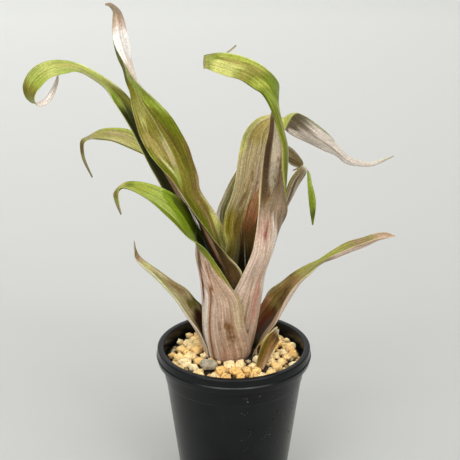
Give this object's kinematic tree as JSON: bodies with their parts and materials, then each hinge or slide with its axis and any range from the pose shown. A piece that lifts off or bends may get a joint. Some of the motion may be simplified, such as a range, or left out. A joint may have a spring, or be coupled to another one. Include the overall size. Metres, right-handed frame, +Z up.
{
  "type": "potted bromeliad plant",
  "caption": "Small bromeliad with long arching channelled leaves rising from a clasping tube, standing in pumice gravel in a tapered round dark plastic pot.",
  "frame": {"origin": "centre of the underside of the pot's floor", "axes": "+Z up along the pot's axis, -Y towards the front of the plant, +X to the plant's right as seen from the front"},
  "size_m": [0.212, 0.1094, 0.2975],
  "materials": {
    "pot_plastic": "dark charcoal satin moulded plastic",
    "pumice": "rough cream to tan pumice",
    "grey_stone": "matte grey-green pebble",
    "stem": "rough brown",
    "leaf": "smooth, slightly glossy leaf skin with fine ribs"
  },
  "bodies": {
    "root": {"pot": "pot_plastic", "gravel": "pumice", "grey_pebble": "grey_stone", "stem": "stem", "leaf_left_front": "leaf", "leaf_left_curled": "leaf", "leaf_broad": "leaf", "leaf_left_back": "leaf", "leaf_right_tall": "leaf", "leaf_back_tall": "leaf", "leaf_back": "leaf", "leaf_right_folded": "leaf", "leaf_low_right": "leaf", "leaf_low_left": "leaf", "leaf_stub": "leaf"}
  },
  "joints": []
}
